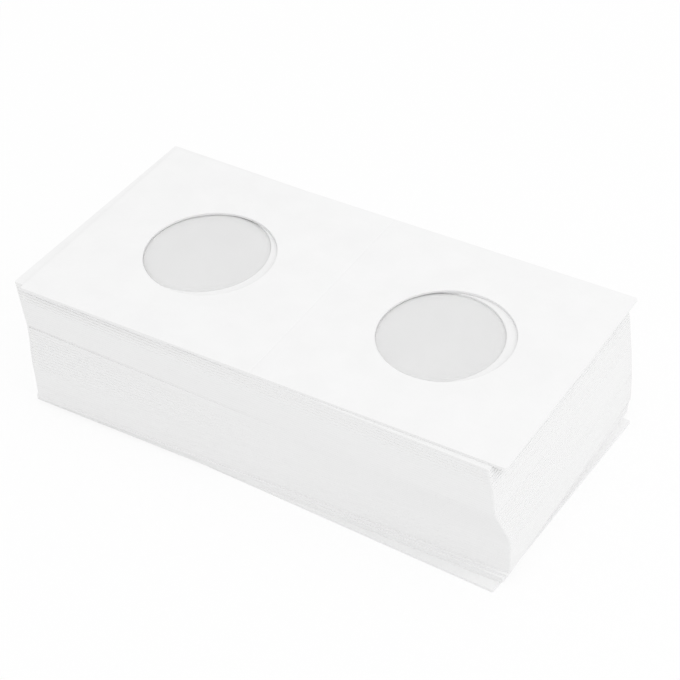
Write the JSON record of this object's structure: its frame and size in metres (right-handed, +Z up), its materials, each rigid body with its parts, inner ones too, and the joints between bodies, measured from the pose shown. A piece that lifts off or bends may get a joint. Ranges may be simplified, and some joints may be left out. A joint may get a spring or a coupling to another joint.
{
  "type": "coin holder flip",
  "caption": "Loose pack of white card coin flips lying open, each with two round film-covered windows and a score across the middle; top flips lift off, and the top one folds shut.",
  "frame": {"origin": "on the surface that the pack lies on, at the middle of the pack's outline", "axes": "+Z up, +X along the flips, +Y across them towards the back long edge"},
  "size_m": [0.1036, 0.054, 0.0275],
  "materials": {
    "card": "matte",
    "film": "gloss"
  },
  "bodies": {
    "lower_pack": {"flip_20_card": "card", "flip_21_card": "card", "flip_22_card": "card", "flip_23_card": "card", "flip_24_card": "card", "flip_25_card": "card", "flip_26_card": "card", "flip_27_card": "card", "flip_28_card": "card", "flip_29_card": "card", "flip_30_card": "card", "flip_31_card": "card", "flip_32_card": "card", "flip_33_card": "card", "flip_34_card": "card", "flip_35_card": "card", "flip_36_card": "card", "flip_37_card": "card", "flip_38_card": "card", "flip_39_card": "card", "flip_40_card": "card", "flip_41_card": "card", "flip_42_card": "card", "flip_43_card": "card", "flip_44_card": "card", "flip_45_card": "card", "flip_46_card": "card", "flip_47_card": "card", "flip_48_card": "card", "flip_49_card": "card", "flip_50_card": "card", "lower_pack_films": "film"},
    "upper_pack": {"flip_06_card": "card", "flip_07_card": "card", "flip_08_card": "card", "flip_09_card": "card", "flip_10_card": "card", "flip_11_card": "card", "flip_12_card": "card", "flip_13_card": "card", "flip_14_card": "card", "flip_15_card": "card", "flip_16_card": "card", "flip_17_card": "card", "flip_18_card": "card", "flip_19_card": "card", "upper_pack_films": "film"},
    "flip_05": {"flip_05_card": "card", "flip_05_film": "film"},
    "flip_04": {"flip_04_card": "card", "flip_04_film": "film"},
    "flip_03": {"flip_03_card": "card", "flip_03_film": "film"},
    "flip_02": {"flip_02_card": "card", "flip_02_film": "film"},
    "top_flip": {"top_flip_left_leaf": "card", "top_flip_left_film": "film"},
    "top_flip_leaf": {"top_flip_right_leaf": "card", "top_flip_right_film": "film"}
  },
  "joints": [
    {"name": "upper_pack_lift", "type": "slide", "parent": "lower_pack", "child": "upper_pack", "axis": [0, 0, 1], "range_m": [0, 0.06]},
    {"name": "flip_05_lift", "type": "slide", "parent": "upper_pack", "child": "flip_05", "axis": [0, 0, 1], "range_m": [0, 0.06]},
    {"name": "flip_04_lift", "type": "slide", "parent": "flip_05", "child": "flip_04", "axis": [0, 0, 1], "range_m": [0, 0.06]},
    {"name": "flip_03_lift", "type": "slide", "parent": "flip_04", "child": "flip_03", "axis": [0, 0, 1], "range_m": [0, 0.06]},
    {"name": "flip_02_lift", "type": "slide", "parent": "flip_03", "child": "flip_02", "axis": [0, 0, 1], "range_m": [0, 0.06]},
    {"name": "top_flip_lift", "type": "slide", "parent": "flip_02", "child": "top_flip", "axis": [0, 0, 1], "range_m": [0, 0.18]},
    {"name": "top_flip_fold", "type": "hinge", "parent": "top_flip", "child": "top_flip_leaf", "pos_m": [0.00077, 0.00037, 0.02695], "axis": [0, 1, 0], "range_deg": [0, 180]}
  ],
  "couplings": [
    {"joint": "top_flip_fold", "follows": "top_flip_lift", "rad_per_m": 17.4}
  ]
}
